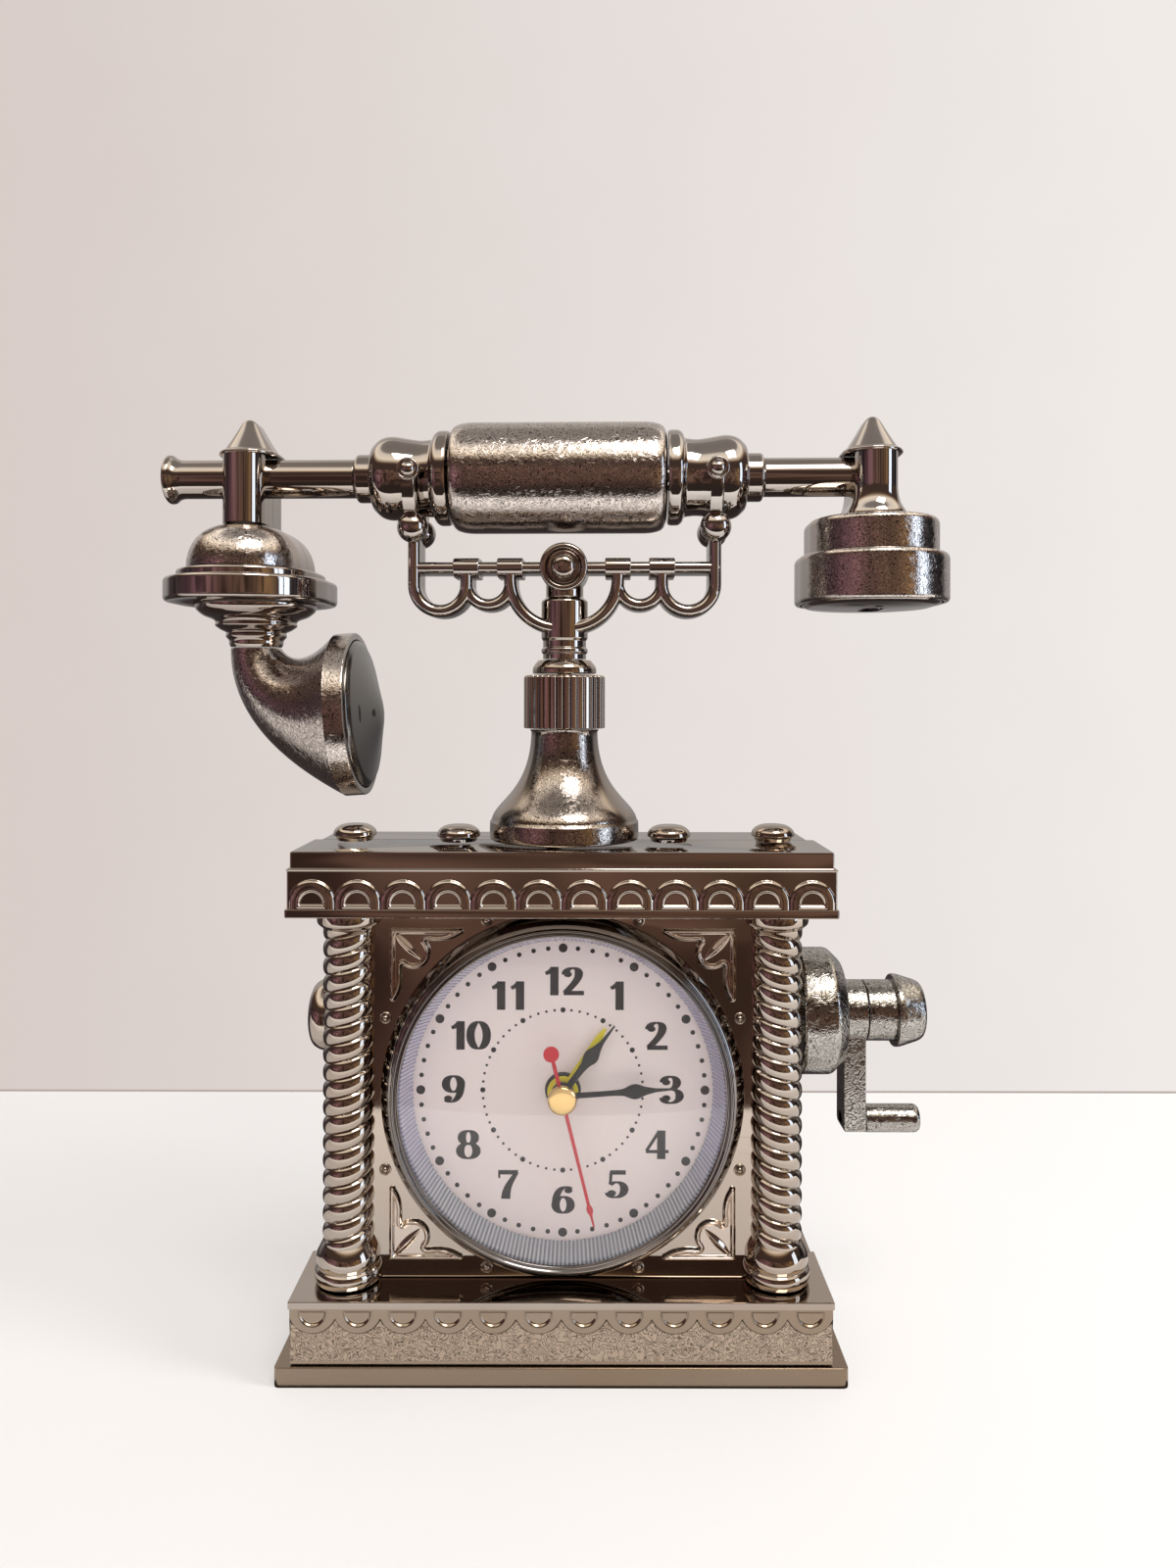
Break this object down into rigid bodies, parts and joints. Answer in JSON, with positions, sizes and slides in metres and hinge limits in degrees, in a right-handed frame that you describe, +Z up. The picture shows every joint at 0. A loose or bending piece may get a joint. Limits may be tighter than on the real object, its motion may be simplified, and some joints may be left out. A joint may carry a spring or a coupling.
{
  "type": "telephone clock",
  "caption": "Table clock shaped like an old telephone: dial in a columned case, twisted pillars, crank, and a lift-off handset with horn and receiver on a swivelling cradle.",
  "frame": {"origin": "centre of the flat underside of the base plate, on the surface the clock stands on", "axes": "+Z up; +X to the right of a person who looks at the dial, towards the crank; the dial faces -Y"},
  "size_m": [0.1881, 0.0485, 0.2202],
  "materials": {
    "dark_chrome": "plastic with bright dark nickel plating",
    "grained_chrome": "plated plastic with a fine wrinkle grain",
    "steel": "plain steel",
    "clear": "clear and polished",
    "lavender": "milky translucent with a lavender tint",
    "white_card": "matt printed card, pinkish white",
    "black_metal": "black paint",
    "yellow_metal": "yellow paint",
    "red_metal": "red paint",
    "gold": "polished gold colour",
    "brass": "plain",
    "black_plastic": "satin black",
    "white_plastic": "satin white",
    "battery_wrap": "glossy wrap",
    "copper": "enamelled copper wire"
  },
  "bodies": {
    "case": {"base_plate": "dark_chrome", "front_shell": "dark_chrome", "rear_shell": "dark_chrome", "column_left": "dark_chrome", "column_right": "dark_chrome", "stud_left_outer": "dark_chrome", "stud_left_inner": "dark_chrome", "stud_right_inner": "dark_chrome", "stud_right_outer": "dark_chrome", "bezel": "dark_chrome", "knurled_nut": "dark_chrome", "stem_collar": "dark_chrome", "side_boss": "dark_chrome", "stem_bell": "grained_chrome", "crank_hub": "grained_chrome", "base_screw_left": "steel", "base_screw_right": "steel", "stem_bolt": "steel", "lens": "clear", "fluted_ring": "lavender", "dial_plate": "white_card", "movement_case": "black_plastic", "movement_cover": "black_plastic", "battery": "battery_wrap", "coil": "copper", "buzzer": "black_plastic"},
    "cradle": {"cradle_front": "dark_chrome", "cradle_rear": "dark_chrome"},
    "handset": {"handset_grip": "grained_chrome", "handset_end_left": "dark_chrome", "handset_end_right": "dark_chrome", "arm_left": "dark_chrome", "arm_right": "dark_chrome", "finial_left": "dark_chrome", "finial_right": "dark_chrome", "transmitter_dome": "grained_chrome", "transmitter_disc": "dark_chrome", "transmitter_neck": "dark_chrome", "transmitter_horn": "grained_chrome", "mouthpiece_cap": "dark_chrome", "receiver_upper_cup": "grained_chrome", "receiver_lower_cup": "grained_chrome", "receiver_cap": "dark_chrome"},
    "crank": {"crank_arm": "grained_chrome", "crank_shaft": "grained_chrome", "crank_peg": "grained_chrome"},
    "minutes": {"minute_hand": "black_metal", "centre_wheel": "brass"},
    "hours": {"hour_hand": "black_metal", "hour_wheel": "brass"},
    "seconds": {"second_hand": "red_metal", "second_wheel": "brass", "hand_cap": "gold"},
    "motion": {"motion_wheel": "brass"},
    "alarm": {"alarm_hand": "yellow_metal", "alarm_wheel": "brass"},
    "time_setting": {"time_knob": "black_plastic"},
    "alarm_setting": {"alarm_knob": "black_plastic"},
    "switch": {"alarm_switch": "white_plastic"},
    "door": {"battery_door": "black_plastic"}
  },
  "joints": [
    {"name": "cradle_swivel", "type": "hinge", "parent": "case", "child": "cradle", "pos_m": [0, 0.003, 0.165], "axis": [0, 0, 1], "range_deg": [-180, 180]},
    {"name": "handset_lift", "type": "slide", "parent": "cradle", "child": "handset", "axis": [0, 0, 1], "range_m": [0, 0.05]},
    {"name": "crank_turn", "type": "hinge", "parent": "case", "child": "crank", "pos_m": [0.068, 0.0035, 0.0775], "axis": [1, 0, 0], "continuous": true},
    {"name": "minute_hand_turn", "type": "hinge", "parent": "case", "child": "minutes", "pos_m": [0, 0, 0.0616], "axis": [0, 1, 0], "continuous": true},
    {"name": "hour_hand_turn", "type": "hinge", "parent": "case", "child": "hours", "pos_m": [0, 0, 0.0616], "axis": [0, 1, 0], "continuous": true},
    {"name": "second_hand_turn", "type": "hinge", "parent": "case", "child": "seconds", "pos_m": [0, 0, 0.0616], "axis": [0, 1, 0], "continuous": true},
    {"name": "motion_wheel_turn", "type": "hinge", "parent": "case", "child": "motion", "pos_m": [0.0113, 0, 0.0616], "axis": [0, 1, 0], "continuous": true},
    {"name": "time_knob_turn", "type": "hinge", "parent": "case", "child": "time_setting", "pos_m": [0.00926, 0.012, 0.07086], "axis": [0, 1, 0], "continuous": true},
    {"name": "alarm_hand_turn", "type": "hinge", "parent": "case", "child": "alarm", "pos_m": [0, 0, 0.0616], "axis": [0, 1, 0], "continuous": true},
    {"name": "alarm_knob_turn", "type": "hinge", "parent": "case", "child": "alarm_setting", "pos_m": [-0.00976, 0.012, 0.07136], "axis": [0, 1, 0], "continuous": true},
    {"name": "alarm_switch_slide", "type": "slide", "parent": "case", "child": "switch", "axis": [1, 0, 0], "range_m": [0, 0.004]},
    {"name": "battery_door_pull", "type": "slide", "parent": "case", "child": "door", "axis": [0, 1, 0], "range_m": [0, 0.02]}
  ],
  "couplings": [
    {"joint": "minute_hand_turn", "follows": "second_hand_turn", "ratio": 0.016667},
    {"joint": "hour_hand_turn", "follows": "second_hand_turn", "ratio": 0.0013889},
    {"joint": "motion_wheel_turn", "follows": "second_hand_turn", "ratio": -0.0037037},
    {"joint": "time_knob_turn", "follows": "second_hand_turn", "ratio": -0.05},
    {"joint": "alarm_hand_turn", "follows": "alarm_knob_turn", "ratio": -0.5}
  ]
}
